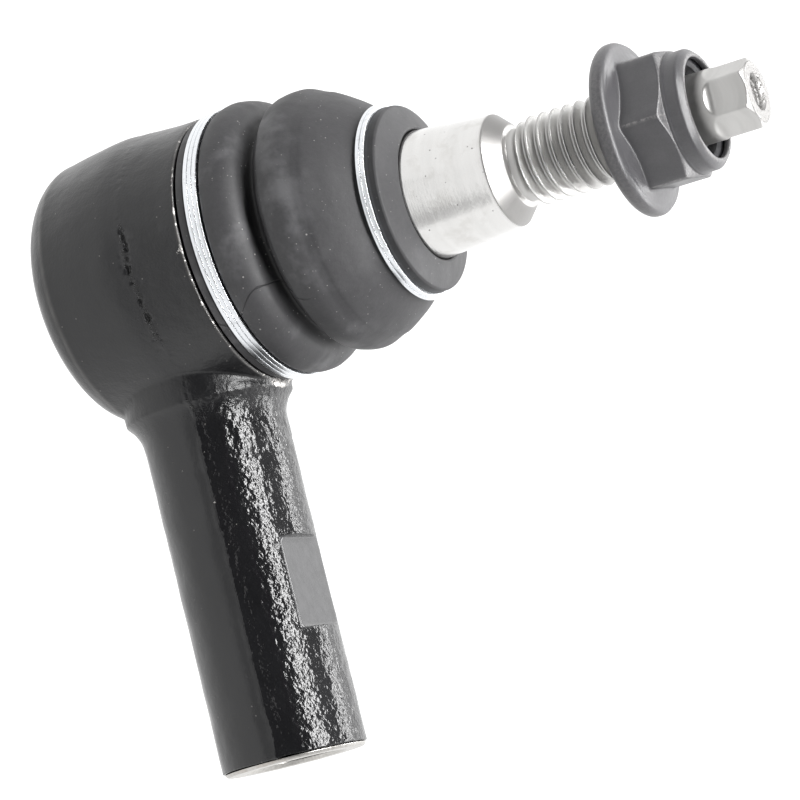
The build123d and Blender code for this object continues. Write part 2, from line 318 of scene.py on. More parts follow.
def thread(angle, z, major_r, pitch, depth):
    """Height of a right-hand thread with flats on its crests and rounded roots."""
    from_crest = np.abs((z / pitch - angle / TAU) % 1 - 0.5) * pitch
    flank = major_r - math.sqrt(3) * (from_crest - pitch / 16)
    return soft_max(soft_min(flank, major_r + 0 * z, 0.16), major_r - depth + 0 * z, 0.22)


# ---------------------------------------------------------------- materials

class Finish:
    """One procedural material. Lengths are millimetres of the piece's own upright drawing."""

    def __init__(self, name, **settings):
        self.material = bpy.data.materials.new(name)
        self.material.use_nodes = True
        self.nodes = self.material.node_tree.nodes
        self.links = self.material.node_tree.links
        self.shader = self.nodes["Principled BSDF"]
        for socket, value in settings.items():
            self.shader.inputs[socket.replace("_", " ")].default_value = value
        self.at = self.attribute("at", "Vector")
        self.height = None

    def attribute(self, name, output="Fac"):
        node = self.nodes.new("ShaderNodeAttribute")
        node.attribute_name = name
        return node.outputs[output]

    def node_on_cad(self):
        """Read places from the CAD object itself, which carries no "at"."""
        coordinates = self.nodes.new("ShaderNodeTexCoord")
        scaled = self.nodes.new("ShaderNodeVectorMath")
        scaled.operation = "SCALE"
        scaled.inputs["Scale"].default_value = 1 / MM
        self.links.new(coordinates.outputs["Object"], scaled.inputs[0])
        self.at = scaled.outputs[0]
        return self

    def feed(self, socket, value):
        if isinstance(value, (int, float)):
            socket.default_value = value
        elif isinstance(value, tuple):
            socket.default_value = (*value, 1.0) if len(socket.default_value) == 4 else value
        else:
            self.links.new(value, socket)

    def math(self, operation, *values):
        node = self.nodes.new("ShaderNodeMath")
        node.operation = operation
        for socket, value in zip(node.inputs, values):
            self.feed(socket, value)
        return node.outputs[0]

    def part(self, axis):
        node = self.nodes.new("ShaderNodeSeparateXYZ")
        self.links.new(self.at, node.inputs[0])
        return node.outputs[axis]

    def turn(self):
        return self.math("ARCTAN2", self.part("Y"), self.part("X"))

    def radius(self):
        squares = [self.math("POWER", self.part(axis), 2) for axis in ("X", "Y")]
        return self.math("SQRT", self.math("ADD", *squares))

    def stretched(self, *sizes):
        """Places scaled so that one unit is sizes millimetres along each axis."""
        node = self.nodes.new("ShaderNodeVectorMath")
        node.operation = "MULTIPLY"
        self.links.new(self.at, node.inputs[0])
        node.inputs[1].default_value = [1 / size for size in sizes]
        return node.outputs[0]

    def rings(self, across, round_trip=6 / 14):
        """Places for marks that run round the axis, each about across millimetres wide."""
        node = self.nodes.new("ShaderNodeCombineXYZ")
        turn = self.turn()
        along = self.math("ADD", self.part("Z"), self.radius())
        self.feed(node.inputs[0], self.math("MULTIPLY", self.math("COSINE", turn), round_trip))
        self.feed(node.inputs[1], self.math("MULTIPLY", self.math("SINE", turn), round_trip))
        self.feed(node.inputs[2], self.math("MULTIPLY", along, 1 / across))
        return node.outputs[0]

    def cloud(self, size, detail=3.0, rough=0.55, where=None, twist=0.0):
        """Noise from 0 to 1 with features about size millimetres across."""
        node = self.nodes.new("ShaderNodeTexNoise")
        self.links.new(where or self.at, node.inputs["Vector"])
        node.inputs["Scale"].default_value = 1 / size
        node.inputs["Detail"].default_value = detail
        node.inputs["Roughness"].default_value = rough
        node.inputs["Distortion"].default_value = twist
        return node.outputs["Fac"]

    def cells(self, size):
        """Distance to scattered points about size millimetres apart."""
        node = self.nodes.new("ShaderNodeTexVoronoi")
        self.links.new(self.at, node.inputs["Vector"])
        node.inputs["Scale"].default_value = 1 / size
        return node.outputs["Distance"]

    def ramp(self, value, low, high):
        """0 where value is at low, 1 where it is at high, smooth between."""
        node = self.nodes.new("ShaderNodeMapRange")
        node.interpolation_type = "SMOOTHSTEP"
        self.feed(node.inputs["Value"], value)
        turn_round = low > high
        node.inputs["From Min"].default_value = high if turn_round else low
        node.inputs["From Max"].default_value = low if turn_round else high
        node.inputs["To Min"].default_value = 1.0 if turn_round else 0.0
        node.inputs["To Max"].default_value = 0.0 if turn_round else 1.0
        return node.outputs["Result"]

    def spread(self, value, low, high):
        """A 0 to 1 value stretched to run from low to high."""
        return self.math("MULTIPLY_ADD", value, high - low, low)

    def blend(self, share, under, over):
        """Two colours mixed. A Mix node's colour sockets are inputs 6 and 7 and output 2."""
        node = self.nodes.new("ShaderNodeMix")
        node.data_type = "RGBA"
        self.feed(node.inputs["Factor"], share)
        self.feed(node.inputs[6], under)
        self.feed(node.inputs[7], over)
        return node.outputs[2]

    def bump(self, value, depth):
        """Raise the surface by value times depth millimetres, over any bump before it."""
        node = self.nodes.new("ShaderNodeBump")
        node.inputs["Distance"].default_value = depth * MM
        self.feed(node.inputs["Height"], value)
        if self.height is not None:
            self.links.new(self.height, node.inputs["Normal"])
        self.height = node.outputs[0]

    def done(self, colour, roughness, metal=None):
        self.feed(self.shader.inputs["Base Color"], colour)
        self.feed(self.shader.inputs["Roughness"], roughness)
        if metal is not None:
            self.feed(self.shader.inputs["Metallic"], metal)
        if self.height is not None:
            self.links.new(self.height, self.shader.inputs["Normal"])
        return self.material


def black_paint():
    """Glossy black dip paint over forged steel, knocked off in spots along rims and flash, with
    painted highlight lines on the rim and the lower edge, painted shade in the pits, and a painted
    reflection that lightens the wrench flats."""
    f = Finish("black_dip_paint")
    ripple = f.attribute("ripple")
    coarse = f.cloud(0.80, 2.0, 0.5)
    fine = f.cloud(0.35, 3.0)
    wear_and_edge_highlights = f.attribute("wear_and_edge_highlights")
    pitted = f.attribute("pitted")
    grain = f.attribute("grain")
    edge_highlight_line = f.attribute("edge_highlight_line")
    # The wear mask holds real chips on the rims and flash, and bare steel along the painted highlight lines
    # of the rim and the lower edge.
    chip = f.ramp(f.math("ADD", f.cloud(1.7, 4.0, 0.75), f.math("MULTIPLY", wear_and_edge_highlights, 0.36)), 0.87, 0.91)
    pit_with_shade = f.math("MULTIPLY", pitted, f.spread(f.cloud(0.7, 3.0, 0.6), 0.0, 2.0))
    pit_with_shade = f.ramp(pit_with_shade, 0.98, 1.10)
    dust = f.ramp(f.cells(1.7), 0.07, 0.03)
    f.bump(f.math("MULTIPLY", coarse, f.spread(ripple, 0.08, 1.0)), 0.19)
    f.bump(f.math("MULTIPLY", fine, f.spread(grain, 0.4, 1.0)), 0.035)
    f.bump(f.math("SUBTRACT", 1.0, pit_with_shade), 0.45)
    f.bump(f.math("SUBTRACT", 1.0, chip), 0.05)
    paint = f.blend(f.cloud(6.0, 2.0), (0.004, 0.004, 0.0045), (0.010, 0.010, 0.011))
    paint = f.blend(f.math("MULTIPLY", dust, 0.35), paint, (0.30, 0.29, 0.27))
    # Painted shade: the paint in the pits is darkened to near black.
    paint = f.blend(f.math("MULTIPLY", pit_with_shade, 0.8), paint, (0.002, 0.002, 0.002))
    # Painted highlight: thin light lines along the rim and the head's lower edge.
    edge_highlight = f.math("MULTIPLY", edge_highlight_line, f.spread(f.cloud(3.0), 0.0, 1.2))
    paint = f.blend(edge_highlight, paint, (0.16, 0.155, 0.15))
    # Painted reflection: the paint on the wrench flats is made lighter grey to stand for the bright wall they
    # reflect.
    dull = f.blend(f.cloud(1.5, 4.0, 0.6), (0.02, 0.02, 0.021), (0.06, 0.06, 0.062))
    paint = f.blend(f.attribute("on_flat"), paint, dull)
    steel = f.blend(f.cloud(0.3), (0.30, 0.28, 0.26), (0.62, 0.61, 0.60))
    colour = f.blend(chip, paint, steel)
    gloss = f.math("ADD", f.spread(f.cloud(2.5, 3.0), 0.11, 0.22), f.math("MULTIPLY", grain, 0.15))
    rough = f.math("MAXIMUM", gloss, f.math("MULTIPLY", chip, 0.42))
    return f.done(colour, rough, chip)


def rubber():
    """Moulded black rubber with a pale bloom and dust on its crests, and painted shade in its creases and on
    the lip's outer side.
    """
    f = Finish("bellows_rubber", IOR=1.48)
    broad = f.cloud(7.0, 4.0, 0.6)
    speckle = f.cloud(0.55, 4.0, 0.7)
    crest = f.attribute("crest")
    bloom = f.math("MULTIPLY", f.ramp(broad, 0.50, 0.72), f.spread(crest, 0.25, 1.0))
    dots = f.ramp(f.math("ADD", f.cells(0.9), f.math("MULTIPLY", f.cloud(5.0), 0.40)), 0.29, 0.21)
    scuffs = f.ramp(f.cloud(1.2, 5.0, 0.75, f.stretched(1.0, 1.0, 2.2), 0.6), 0.66, 0.74)
    wander = f.math("MULTIPLY", f.math("SINE", f.math("MULTIPLY", f.part("Z"), 0.55)), 0.10)
    seam_turn = f.math("SUBTRACT", wander, SEAM_AT)
    off_seam = f.math("ABSOLUTE", f.math("SUBTRACT", f.turn(), seam_turn))
    off_seam = f.math("ADD", off_seam, f.math("MULTIPLY", f.cloud(1.5), 0.012))
    seam = f.math("MULTIPLY", f.ramp(off_seam, 0.016, 0.008), f.ramp(f.part("Z"), 27.0, 25.0))
    f.bump(f.cloud(0.25, 3.0), 0.012)
    f.bump(f.cloud(1.6, 3.0), 0.030)
    f.bump(dots, 0.02)
    f.bump(f.math("SUBTRACT", 1.0, seam), 0.10)
    colour = f.blend(speckle, (0.022, 0.022, 0.024), (0.042, 0.041, 0.043))
    # Painted shade: the creases, the fold under the upper convolution, the ring seat and the lip's outer side
    # are darkened.
    colour = f.blend(f.math("MULTIPLY", f.attribute("crease_shade"), 0.85), colour, (0.006, 0.006, 0.007))
    colour = f.blend(f.math("MULTIPLY", bloom, 0.45), colour, (0.13, 0.13, 0.135))
    colour = f.blend(f.math("MULTIPLY", seam, 0.8), colour, (0.006, 0.006, 0.007))
    colour = f.blend(f.math("MULTIPLY", scuffs, 0.30), colour, (0.22, 0.22, 0.215))
    colour = f.blend(f.math("MULTIPLY", dots, 0.45), colour, (0.42, 0.41, 0.39))
    rough = f.spread(f.cloud(2.0), 0.48, 0.66)
    return f.done(colour, rough)


def ground_steel():
    """Bright ground steel: fine rings from the wheel, faint stains and specks, darker and browner thread
    roots, and a greyer turned part above the taper with a rough recess in its end."""
    f = Finish("ground_steel", Metallic=1.0)
    marks = f.cloud(1.0, 3.0, 0.6, f.rings(0.16))
    broad_marks = f.cloud(1.0, 2.0, 0.5, f.rings(1.1))
    stain = f.ramp(f.cloud(3.0, 4.0, 0.6), 0.50, 0.70)
    speck = f.ramp(f.math("ADD", f.cells(1.6), f.math("MULTIPLY", f.cloud(4.0), 0.25)), 0.20, 0.165)
    threaded = f.attribute("threaded")
    root = f.math("MULTIPLY", threaded, f.ramp(f.radius(), 5.75, 5.15))
    end_pits = f.math("MULTIPLY", f.attribute("cast"), f.ramp(f.cloud(0.45, 4.0, 0.7), 0.52, 0.66))
    turned_part = f.ramp(f.part("Z"), 52.0, 52.6)
    f.bump(marks, 0.006)
    f.bump(f.cloud(0.45, 3.0), 0.012)
    f.bump(f.math("MULTIPLY", threaded, f.cloud(0.35, 3.0)), 0.05)
    f.bump(f.math("SUBTRACT", 1.0, end_pits), 0.06)
    colour = f.blend(broad_marks, (0.58, 0.575, 0.565), (0.68, 0.675, 0.665))
    colour = f.blend(f.math("MULTIPLY", stain, 0.30), colour, (0.46, 0.445, 0.42))
    colour = f.blend(f.math("MULTIPLY", speck, 0.85), colour, (0.05, 0.045, 0.04))
    colour = f.blend(f.math("MULTIPLY", root, 0.75), colour, (0.30, 0.265, 0.235))
    turned_colour = f.blend(broad_marks, (0.42, 0.415, 0.405), (0.56, 0.555, 0.545))
    colour = f.blend(turned_part, colour, turned_colour)
    cast_colour = f.blend(end_pits, (0.27, 0.265, 0.26), (0.12, 0.115, 0.11))
    colour = f.blend(f.ramp(f.attribute("cast"), 0.1, 0.4), colour, cast_colour)
    colour = f.blend(f.attribute("bevel"), colour, (0.26, 0.255, 0.25))
    ground_rough = f.spread(f.cloud(1.4, 3.0), 0.12, 0.20)
    return f.done(colour, f.math("ADD", ground_rough, f.math("MULTIPLY", turned_part, 0.26)))


def zinc_wire():
    """Zinc-plated flat wire, drawn along its length, with small dull spots."""
    f = Finish("zinc_plated_wire", Metallic=1.0)
    drawn = f.cloud(1.0, 2.0, 0.5, f.rings(0.09))
    dull = f.ramp(f.cloud(1.1, 4.0, 0.6), 0.52, 0.70)
    f.bump(drawn, 0.003)
    f.bump(f.cloud(0.9), 0.004)
    colour = f.blend(drawn, (0.62, 0.64, 0.67), (0.76, 0.775, 0.79))
    colour = f.blend(f.math("MULTIPLY", dull, 0.4), colour, (0.46, 0.47, 0.48))
    return f.done(colour, f.spread(f.cloud(0.9), 0.16, 0.34))


def black_phosphate():
    """Satin black coated nut, lighter along its edges from rub wear and painted highlight lines, with a fine
    etched grain.
    """
    f = Finish("black_phosphate_nut", IOR=1.6)
    edge = f.attribute("edge")
    grain = f.cloud(0.22, 4.0, 0.65)
    # Lighter and partly metallic along the edges: rub wear and painted highlight lines.
    rub_and_edge_highlight = f.math("MULTIPLY", edge, f.ramp(f.cloud(0.4, 3.0, 0.6), 0.30, 0.75))
    smear = f.ramp(f.cloud(2.6, 4.0, 0.6), 0.48, 0.68)
    f.bump(grain, 0.012)
    f.bump(f.cloud(1.5, 2.0), 0.020)
    colour = f.blend(grain, (0.030, 0.030, 0.033), (0.060, 0.058, 0.062))
    colour = f.blend(f.math("MULTIPLY", smear, 0.2), colour, (0.080, 0.078, 0.082))
    colour = f.blend(f.math("MULTIPLY", rub_and_edge_highlight, 0.7), colour, (0.30, 0.29, 0.285))
    rough = f.spread(f.cloud(0.8, 3.0), 0.30, 0.46)
    return f.done(colour, rough, f.math("MULTIPLY", rub_and_edge_highlight, 0.6))


def bare_steel(name, dark, light, ring_width):
    """Machined bare steel with tool rings, light rust tint in patches."""
    f = Finish(name, Metallic=1.0)
    tool = f.cloud(1.0, 2.0, 0.5, f.stretched(9.0, ring_width, ring_width))
    patch = f.ramp(f.cloud(2.2, 4.0, 0.6), 0.50, 0.70)
    f.bump(tool, 0.02)
    f.bump(f.cloud(0.4), 0.02)
    colour = f.blend(tool, dark, light)
    colour = f.blend(f.math("MULTIPLY", patch, 0.35), colour, (0.36, 0.31, 0.26))
    return f.done(colour, f.spread(f.cloud(0.8), 0.28, 0.48))


def cad_finish(name, dark, light, size, rough_low, rough_high, bump_depth, **settings):
    """A finish for a CAD piece that is shown as it is."""
    f = Finish(name, **settings).node_on_cad()
    mottle = f.cloud(size, 4.0, 0.6)
    f.bump(f.cloud(size / 5, 3.0), bump_depth)
    f.bump(mottle, bump_depth)
    colour = f.blend(f.ramp(mottle, 0.35, 0.65), dark, light)
    colour = f.blend(f.ramp(f.cells(size), 0.12, 0.04), colour, tuple(0.5 * c for c in dark))
    return f.done(colour, f.spread(f.cloud(size / 2), rough_low, rough_high))


# ---------------------------------------------------------------- housing

def solid(name, outline, columns=192, along_shank=False):
    """A turned solid about Z, or about the shank's axis with its outline as (r, x)."""
    points, faces = skinned(turned(outline, columns))
    if along_shank:
        points = points[:, [2, 0, 1]]
    return new_mesh(name, points, faces)


def block(name, low, high):
    corners = [[(low, high)[(k >> axis) & 1][axis] for axis in range(3)] for k in range(8)]
    faces = [(0, 2, 3, 1), (4, 5, 7, 6), (0, 1, 5, 4), (2, 6, 7, 3), (0, 4, 6, 2), (1, 3, 7, 5)]
    return new_mesh(name, np.array(corners, float), faces)


def build_housing():
    """Forged head and shank under paint: turned solids joined, bored, then weathered."""
    arc = flowing([
        (HEAD_ROUND_R, HEAD_ROUND_Z), (18.85, -10.9), (18.05, -12.0), (17.0, -12.9),
        (HEAD_BOTTOM_R, HEAD_BOTTOM_Z),
    ])
    head = solid("housing_skin", np.vstack([
        [(0, SEAT_TOP), (SEAT_R - 0.3, SEAT_TOP), (SEAT_R, SEAT_TOP - 0.3), (SEAT_R, SEAT_TOP - 0.9)],
        [(SEAT_GROOVE_R, SEAT_TOP - 1.3), (SEAT_GROOVE_R, HEAD_TOP + 0.8)],
        [(SEAT_R, HEAD_TOP + 0.4), (SEAT_R, HEAD_TOP)],
        eased([(SEAT_R + 0.2, HEAD_TOP), (HEAD_TOP_R, HEAD_TOP), (HEAD_TOP_R + 0.15, 9.0)], 0.35),
        flowing([
            (19.55, 6.0), (19.85, 3.0), (HEAD_WIDEST_R, 0), (19.85, -4.5), (19.5, -8.0),
            (HEAD_ROUND_R, HEAD_ROUND_Z),
        ]),
        arc[1:],
        [(0, HEAD_BOTTOM_Z)],
    ]))
    shank_end = BALL_TO_SHANK_END - 0.5
    inner_end = 14
    bore_end = BALL_TO_SHANK_END + 2
    bore_line = [(0, 30), (BORE_R, 31), (BORE_R, bore_end), (0, bore_end)]
    shank_line = [(0, inner_end), (SHANK_R, inner_end), (SHANK_R, shank_end), (0, shank_end)]
    shank_tools = [
        (solid("shank", shank_line, along_shank=True), "UNION"),
        (solid("root", np.vstack([
            [(0, inner_end), (ROOT_R, inner_end)],
            flowing([(ROOT_R, ROOT_END), (11.0, 20.8), (10.35, 22.3), (SHANK_R, ROOT_START)]),
            [(SHANK_R - 1, ROOT_START), (0, ROOT_START)],
        ]), along_shank=True), "UNION"),
        (solid("socket", [
            (0, HEAD_BOTTOM_Z - 1), (MOUTH_CRIMP_R, HEAD_BOTTOM_Z - 1), (MOUTH_CRIMP_R, CAP_BOTTOM),
            (12.4, CAP_BOTTOM), (CAP_R, CAP_TOP - 0.4), (CAP_R, CAP_TOP), (SOCKET_R, CAP_TOP),
            (SOCKET_R, 1.0), (THROAT_R, THROAT_Z), (THROAT_R + 0.1, THROAT_Z + 0.6), (MOUTH_R, SEAT_TOP),
            (MOUTH_R, SEAT_TOP + 1), (0, SEAT_TOP + 1),
        ]), "DIFFERENCE"),
        (solid("bore", bore_line, along_shank=True), "DIFFERENCE"),
    ]
    for side in (-1, 1):
        near, far = side * FLAT_AF / 2, side * (SHANK_R + 2)
        low = (FLAT_START, -SHANK_R - 1, min(near, far))
        high = (FLAT_END, SHANK_R + 1, max(near, far))
        shank_tools.append((block("flat", low, high), "DIFFERENCE"))
    for tool, operation in shank_tools:
        cut = head.modifiers.new(operation.lower(), "BOOLEAN")
        cut.operation = operation
        cut.object = tool
        cut.solver = "MANIFOLD"
    remesh = head.modifiers.new("even", "REMESH")
    remesh.mode = "VOXEL"
    remesh.voxel_size = VOXEL
    smooth = head.modifiers.new("soften", "SMOOTH")
    smooth.factor = 0.5
    smooth.iterations = 3
    graph = bpy.context.evaluated_depsgraph_get()
    mesh = bpy.data.meshes.new_from_object(head.evaluated_get(graph))
    for made in [head] + [tool for tool, _ in shank_tools]:
        bpy.data.objects.remove(made)
    flat = np.zeros(len(mesh.vertices) * 3)
    mesh.vertices.foreach_get("co", flat)
    points = flat.reshape(-1, 3).copy()
    mesh.vertex_normals.foreach_get("vector", flat)
    normals = flat.reshape(-1, 3).copy()
    faces = [tuple(polygon.vertices) for polygon in mesh.polygons]
    return weathered(points, normals, faces)


def weathered(points, normals, faces):
    """Forging lumps, thick glossy paint's ripple and the trimmed flash line, kept off the bores."""
    x, y, z = points.T
    r_head = np.hypot(x, y)
    r_shank = np.hypot(y, z)
    past_head = step_up(x, ROOT_END - 0.6, ROOT_START)
    on_shank = past_head * step_up(r_shank, 8.2, 8.5)
    on_head = (1 - past_head) * step_up(r_head, 17.6, 18.4)
    outside = np.maximum(on_shank, on_head)
    on_flat = step_up(np.abs(z), FLAT_AF / 2 - 0.15, FLAT_AF / 2 - 0.02)
    on_flat *= step_up(x, FLAT_START - 0.3, FLAT_START) * step_up(-x, -FLAT_END - 0.3, -FLAT_END)
    lumps = roughness_of(points, 7.0, 3.1, 2)
    ripple = roughness_of(points, 1.5, 8.7, 2)
    upper = step_up(z, FLASH_Z - 0.2, FLASH_Z + 0.3)
    near_root = step_up(x, 17.0, 21.0) * step_up(-x, -31.0, -25.0)
    depth = 0.10 * lumps
    depth += ripple * (on_head * 0.022 + on_shank * (0.018 + 0.030 * upper + 0.07 * near_root * upper))

    # The flash line wanders, and rises a little from the shank to the head.
    flash_z = FLASH_Z + (HEAD_FLASH_Z - FLASH_Z) * step_up(-x, -26.0, -12.0)
    flash_z += 0.25 * roughness_of(points * [1, 1, 0.1], 4.0, 5.5)
    off_flash = np.abs(z - flash_z)
    flash = near(off_flash, 0.45)
    depth += flash * (0.10 * on_shank + 0.02 * on_head)
    depth -= 0.10 * upper * on_shank * near(off_flash, 2.5)

    # Pits follow it on the head's -Y side, and hardly elsewhere.
    angle = np.degrees(np.arctan2(y, x))
    streak = step_up(angle, -112, -96) * (1 - step_up(angle, -58, -48))
    pits = step_up(roughness_of(points, 0.95, 2.9, 2), 0.02, 0.28)
    pit_reach = np.clip(0.55 + 1.1 * roughness_of(points, 4.0, 9.9), 0.15, 1.3)
    depth -= 0.38 * pits * near(off_flash, pit_reach) * on_head * (0.1 + 0.9 * streak)

    # 0.06 mm is left for all of it, so that it stays inside the CAD housing.
    depth = depth * outside * (1 - on_flat) - 0.06 * outside
    moved = points + normals * depth[:, None]
    rim = step_up(z, HEAD_TOP - 2.6, HEAD_TOP - 0.4) * step_up(r_head, 18.2, 18.8)
    # Painted highlight lines: one along the head's lower edge and one along the rim. They lighten the paint
    # and bare it thinly there.
    bottom_edge_highlight = near(z - HEAD_ROUND_Z, 0.30) * on_head
    rim_highlight_line = step_up(z, HEAD_TOP - 0.45, HEAD_TOP - 0.15) * step_up(r_head, 18.75, 18.95)
    root_patch = near_root * upper * (1 - step_up(x, 21, 26))
    # Real chips at the rim and along the flash, plus bare steel along the painted highlight lines.
    wear_and_edge_highlights = 0.62 * rim + 0.5 * rim_highlight_line + flash * (0.55 * on_shank + 0.2 * on_head) + 0.35 * bottom_edge_highlight
    pitted = near(off_flash, 0.9) * on_head * (0.6 + 0.55 * streak) + 0.5 * root_patch
    ripples = upper * np.maximum(on_shank, root_patch) * (1 - on_flat)
    ripples += 0.12 * on_head * step_up(x, 5.0, 14.0)
    masks = {
        "wear_and_edge_highlights": np.clip(wear_and_edge_highlights, 0, 1),
        "pitted": np.clip(pitted, 0, 1.15),
        "grain": np.clip(on_head + 0.3 * (1 - upper) * on_shank, 0, 1),
        "ripple": np.clip(ripples, 0, 1),
        "edge_highlight_line": np.clip(rim_highlight_line + 0.5 * bottom_edge_highlight, 0, 1),
        "on_flat": on_flat * on_shank,
    }
    return moved, faces, masks


def build_end():
    """The shank's bare end face, its chamfer and countersink, and the M14 thread down the hole."""
    end = BALL_TO_SHANK_END
    depth = math.sqrt(3) / 2 * ROD_THREAD_PITCH * 5 / 8
    minor = ROD_THREAD_R - depth

    def bore(angle, along):
        wall = 2 * ROD_THREAD_R - depth - thread(angle, along, ROD_THREAD_R, ROD_THREAD_PITCH, depth)
        mouth = minor + np.maximum(0, along - end + 0.9)
        return np.maximum(wall, mouth)

    inner, outer = END_RING_R
    outside = [
        (0, end - 38.9), (inner, end - 38.0), (inner, end - 0.52), (outer, end - 0.48), (outer, end - 0.35),
        (outer - 0.35, end), (inner + 0.2, end),
    ]
    tip = end - ROD_THREAD_DEPTH - minor / math.tan(math.radians(59))
    columns = 192
    step = 0.1
    rows = np.vstack([
        turned(filled(eased(outside, 0.12), 0.8), columns),
        turned([(inner - 0.2, end)], columns),
        shaped(bore, np.arange(end - 0.02, end - ROD_THREAD_DEPTH, -step), columns),
        turned(filled([(minor, end - ROD_THREAD_DEPTH), (0, tip)], 1.0), columns),
    ])
    points, faces = skinned(rows)
    return points[:, [2, 0, 1]], faces


# ---------------------------------------------------------------- stud and nut

def build_stud():
    """Ball, flared neck, ground taper, rolled thread and the hexagon tip with its cast recess."""
    columns = 252
    flat_r = math.sqrt(BALL_R**2 - BALL_FLAT_Z**2)
    start = math.atan2(BALL_FLAT_Z, flat_r)
    finish = math.acos(NECK_R / BALL_R)
    ball = [(BALL_R * math.cos(a), BALL_R * math.sin(a)) for a in np.linspace(start, finish, 60)]
    neck = flowing([
        (NECK_R, 9.5), (NECK_R, 17.0), (7.35, 20.5), (8.3, 26.0), (8.9, 29.5), (LAND_R, 31.5), (LAND_R, 34.0),
    ], 0.5)
    body = eased([
        (LAND_R, 35.0), (LAND_R, LAND_END), (TAPER_END_R, TAPER_END), (5.7, BEVEL_END),
        (RELIEF_R, BEVEL_END + 0.25), (RELIEF_R, THREAD_START),
    ], 0.1, 3)

    def threaded(angle, z):
        ends = soft_min(RELIEF_R + (z - THREAD_START) * 1.6, 4.9 + (THREAD_END + 0.75 - z) * 1.3, 0.1)
        return soft_min(thread(angle, z, THREAD_R, PITCH, 1.0), np.maximum(ends, TIP_R), 0.08)

    def tip(angle, z):
        rise = np.clip(z - TIP_FLAT_START, 0, TIP_RUNOUT)
        side = TIP_AF / 2 + TIP_RUNOUT - np.sqrt(TIP_RUNOUT**2 - (TIP_RUNOUT - rise) ** 2)
        flats = np.where(z > TIP_FLAT_START, hexagon(angle, 2 * side), TIP_R + 1)
        chamfer = TIP_R - 0.75 + (STUD_END - z) * 1.2
        return soft_min(soft_min(flats, TIP_R + 0 * z, 0.12), chamfer, 0.1)

    def mouth(share):
        angle = around(columns)
        edge = tip(angle, STUD_END + 0 * angle)
        r = edge + (RECESS_R - edge) * share
        return np.stack([r * np.cos(angle), r * np.sin(angle), STUD_END + 0 * r], -1)

    floor = STUD_END - RECESS_DEPTH
    recess = eased([(RECESS_R, STUD_END), (RECESS_R - 0.3, floor + 0.1), (0.6, floor), (0, floor)], 0.25, 3)
    rows = np.vstack([
        turned(filled([(0, BALL_FLAT_Z), (flat_r - 0.1, BALL_FLAT_Z)], 1.5), columns),
        turned(np.vstack([ball, neck]), columns),
        turned(filled(body, 0.6), columns),
        shaped(threaded, np.arange(THREAD_START + 0.06, THREAD_END + 1.0, 0.06), columns),
        shaped(tip, np.arange(THREAD_END + 1.1, STUD_END, 0.1), columns),
        np.array([mouth(share) for share in (0, 0.03, 0.3, 0.6, 0.9, 0.97)]),
        turned(filled(recess[1:], 0.18), columns),
    ])
    points, faces = skinned(rows)
    r = np.hypot(points[:, 0], points[:, 1])
    z = points[:, 2]
    inside = (r < RECESS_R - 0.05) & (z > floor - 0.3)
    rough_floor = 0.09 * roughness_of(points, 0.8, 2.2, 2) * np.clip(r * 4, 0, 1)
    points[:, 2] += np.where(inside, rough_floor, 0)
    end_face = step_up(z, STUD_END - 0.25, STUD_END - 0.1) * (1 - 0.6 * step_up(r, 2.4, 2.8))
    recessed = step_up(-r, -2.4, -2.3) * step_up(z, floor - 0.4, floor - 0.2)
    thread_ends = step_up(z, THREAD_END, THREAD_END + 0.6)
    bevel = step_up(z, TAPER_END - 0.1, TAPER_END + 0.1) - step_up(z, BEVEL_END - 0.1, BEVEL_END + 0.1)
    masks = {
        "threaded": step_up(z, THREAD_START - 0.3, THREAD_START) * (1 - thread_ends),
        "cast": end_face + recessed,
        "bevel": bevel,
    }
    return points, faces, masks


